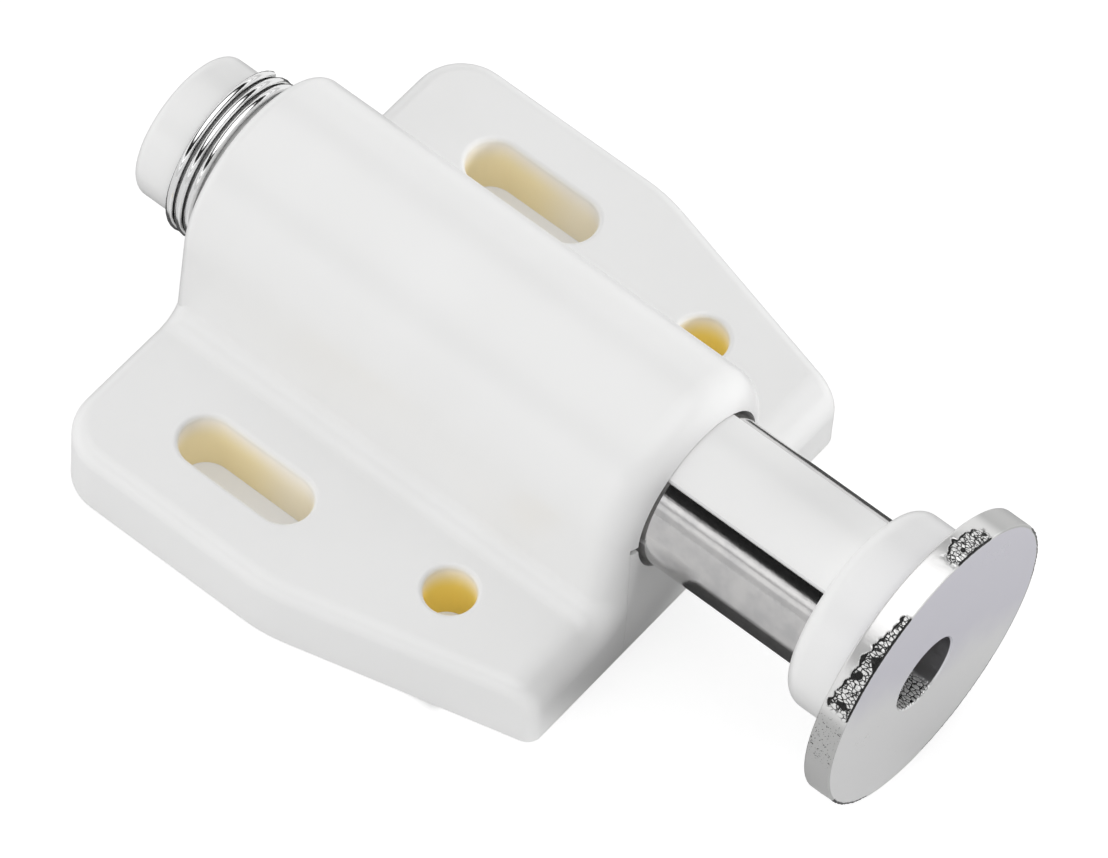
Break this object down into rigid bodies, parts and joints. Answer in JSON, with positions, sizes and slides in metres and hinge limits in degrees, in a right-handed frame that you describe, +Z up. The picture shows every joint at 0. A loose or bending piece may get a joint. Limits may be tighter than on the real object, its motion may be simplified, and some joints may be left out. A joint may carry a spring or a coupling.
{
  "type": "touch latch",
  "caption": "Magnetic push-to-open touch latch: white barrel housing on screw wings, spring-loaded plunger with steel pole plates and collar, and a round steel strike plate.",
  "frame": {"origin": "midway between the two round screw holes, on the mounting face", "axes": "+X along the plunger towards the strike plate, +Z up from the mounting face"},
  "size_m": [0.0616, 0.0406, 0.0223],
  "materials": {
    "housing_plastic": "moulded, soft gloss, slightly translucent",
    "cover_plastic": "moulded, soft gloss",
    "core_plastic": "moulded, soft gloss",
    "collar_plastic": "moulded, soft gloss",
    "pole_plate_steel": "nickel-plated, polished",
    "strike_plate_steel": "nickel-plated face, rough sheared rim",
    "magnet_ferrite": "ground ferrite",
    "spring_wire": "bright spring wire",
    "pin_wire": "drawn wire"
  },
  "bodies": {
    "housing": {"housing": "housing_plastic", "bottom_cover": "cover_plastic", "main_spring": "spring_wire"},
    "plunger": {"plunger_core": "core_plastic", "right_pole_plate": "pole_plate_steel", "left_pole_plate": "pole_plate_steel", "magnet": "magnet_ferrite", "front_collar": "collar_plastic"},
    "strike_plate": {"strike_plate": "strike_plate_steel"},
    "track_pin": {"track_pin": "pin_wire"}
  },
  "joints": [
    {"name": "plunger_slide", "type": "slide", "parent": "housing", "child": "plunger", "axis": [1, 0, 0], "range_m": [-0.012, 0], "stiffness_N_per_m": 200, "springref_m": 0.012, "deforming": ["main_spring"]},
    {"name": "strike_plate_pull", "type": "slide", "parent": "plunger", "child": "strike_plate", "axis": [1, 0, 0], "range_m": [0, 0.015], "stiffness_N_per_m": 40, "springref_m": -0.012},
    {"name": "track_pin_swing", "type": "hinge", "parent": "housing", "child": "track_pin", "pos_m": [-0.01646, 0.001, 0.0044], "axis": [0, 0, 1], "range_deg": [0, 8.3]}
  ],
  "couplings": [
    {"joint": "track_pin_swing", "follows": "plunger_slide", "rad_per_m": -11.915}
  ]
}
